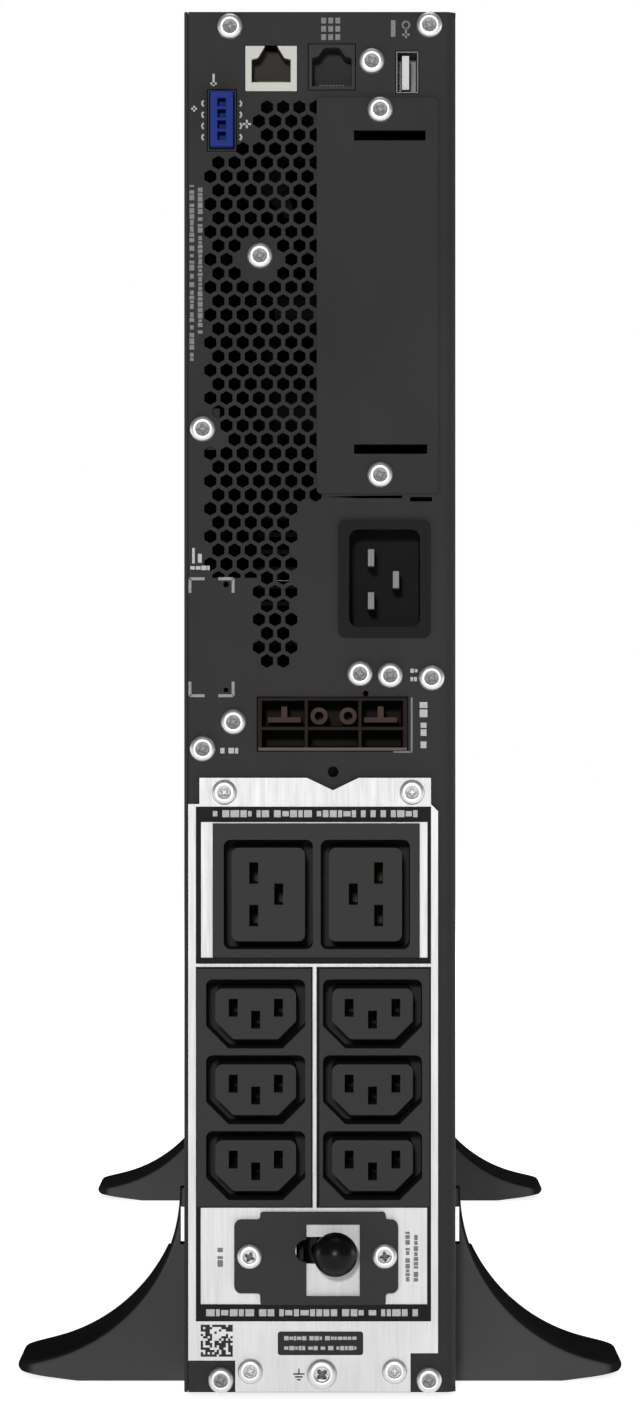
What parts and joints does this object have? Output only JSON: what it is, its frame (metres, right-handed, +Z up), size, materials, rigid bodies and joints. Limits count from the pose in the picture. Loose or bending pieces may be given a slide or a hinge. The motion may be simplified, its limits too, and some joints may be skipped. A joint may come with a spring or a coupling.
{
  "type": "rackmount ups",
  "caption": "Slim rack or tower uninterruptible power supply standing on stabiliser feet, with outlets, inlet, breaker and ports on its rear panel.",
  "frame": {"origin": "on the floor, in the middle of the footprint's bounding box", "axes": "+Z up, +Y from the rear connector panel towards the front bezel, +X to the right when looking at the rear panel"},
  "size_m": [0.1956, 0.6542, 0.4345],
  "materials": {
    "case_steel": "fine satin powder coat, charcoal",
    "zinc_plate": "bright zinc-plated sheet",
    "screw_zinc": "bright zinc-plated screws",
    "black_plastic": "moulded outlet plastic",
    "foot_plastic": "moulded feet, light texture",
    "bezel_plastic": "textured front moulding",
    "label_ink": "printed foil label",
    "contact_brass": "tinned and plain contacts",
    "jack_white": "off-white jack moulding",
    "blue_plastic": "blue pluggable terminal",
    "port_brown": "brown-black battery connector",
    "knob_gloss": "glossy knob",
    "steel_plain": "plain galvanised sheet",
    "board_green": "circuit board",
    "fin_aluminium": "extruded heatsink",
    "can_black": "sleeved capacitors",
    "copper_wound": "enamelled windings",
    "battery_grey": "battery case",
    "window_glass": "display window",
    "key_plastic": "push button caps"
  },
  "bodies": {
    "case": {"rear_panel": "case_steel", "chassis_tray": "case_steel", "side_cover": "case_steel", "option_slot_cover": "case_steel", "front_frame": "steel_plain", "bay_divider": "steel_plain", "battery_retainer": "steel_plain", "fan_bracket": "steel_plain", "battery_trays": "steel_plain", "display_bracket": "steel_plain", "output_plate": "zinc_plate", "output_labels": "label_ink", "c19_outlet_pair": "black_plastic", "c13_outlets_left": "black_plastic", "c13_outlets_right": "black_plastic", "outlet_contacts": "contact_brass", "inlet_housing": "black_plastic", "inlet_pins": "contact_brass", "network_jack": "jack_white", "serial_jack": "black_plastic", "signal_contacts": "contact_brass", "usb_shell": "zinc_plate", "usb_tongue": "jack_white", "emergency_off_header": "black_plastic", "option_slot_rails": "black_plastic", "option_slot_connector": "black_plastic", "battery_port_housing": "port_brown", "battery_port_contacts": "contact_brass", "breaker_body": "black_plastic", "breaker_plate": "black_plastic", "panel_screws": "screw_zinc", "plate_screws": "screw_zinc", "case_screws": "screw_zinc", "foot_screws": "screw_zinc", "foot_rear_left": "foot_plastic", "foot_rear_right": "foot_plastic", "foot_front_left": "foot_plastic", "foot_front_right": "foot_plastic", "comms_board": "board_green", "power_boards": "board_green", "filter_board": "board_green", "heatsinks": "fin_aluminium", "bus_capacitors": "can_black", "power_inductors": "copper_wound", "fan_frames": "black_plastic", "battery_blocks": "battery_grey"},
    "lever": {"breaker_lever": "knob_gloss"},
    "stop_plug": {"emergency_off_plug": "blue_plastic"},
    "upper_fan": {"fan_rotor_upper": "black_plastic"},
    "lower_fan": {"fan_rotor_lower": "black_plastic"},
    "bezel": {"front_bezel": "bezel_plastic"},
    "display": {"display_cassette": "bezel_plastic", "display_back": "bezel_plastic", "display_board": "board_green", "display_window": "window_glass"},
    "power_key": {"button_power": "key_plastic"},
    "escape_key": {"button_escape": "key_plastic"},
    "down_key": {"button_down": "key_plastic"},
    "up_key": {"button_up": "key_plastic"},
    "enter_key": {"button_enter": "key_plastic"}
  },
  "joints": [
    {"name": "lever_tilt", "type": "hinge", "parent": "case", "child": "lever", "pos_m": [-0.0012, -0.3054, 0.0471], "axis": [0, 0, 1], "range_deg": [-44, 0]},
    {"name": "stop_plug_pull", "type": "slide", "parent": "case", "child": "stop_plug", "axis": [0, -1, 0], "range_m": [0, 0.012]},
    {"name": "upper_fan_spin", "type": "hinge", "parent": "case", "child": "upper_fan", "pos_m": [0, 0.0101, 0.3905], "axis": [0, 1, 0], "continuous": true},
    {"name": "lower_fan_spin", "type": "hinge", "parent": "case", "child": "lower_fan", "pos_m": [0, 0.0101, 0.2885], "axis": [0, 1, 0], "continuous": true},
    {"name": "bezel_pull", "type": "slide", "parent": "case", "child": "bezel", "axis": [0, 1, 0], "range_m": [0, 0.06]},
    {"name": "display_turn", "type": "hinge", "parent": "case", "child": "display", "pos_m": [0, 0.2921, 0.3335], "axis": [0, -1, 0], "range_deg": [0, 90]},
    {"name": "power_press", "type": "slide", "parent": "display", "child": "power_key", "axis": [0, -1, 0], "range_m": [0, 0.0008], "stiffness_N_per_m": 800},
    {"name": "escape_press", "type": "slide", "parent": "display", "child": "escape_key", "axis": [0, -1, 0], "range_m": [0, 0.0008], "stiffness_N_per_m": 800},
    {"name": "down_press", "type": "slide", "parent": "display", "child": "down_key", "axis": [0, -1, 0], "range_m": [0, 0.0008], "stiffness_N_per_m": 800},
    {"name": "up_press", "type": "slide", "parent": "display", "child": "up_key", "axis": [0, -1, 0], "range_m": [0, 0.0008], "stiffness_N_per_m": 800},
    {"name": "enter_press", "type": "slide", "parent": "display", "child": "enter_key", "axis": [0, -1, 0], "range_m": [0, 0.0008], "stiffness_N_per_m": 800}
  ]
}
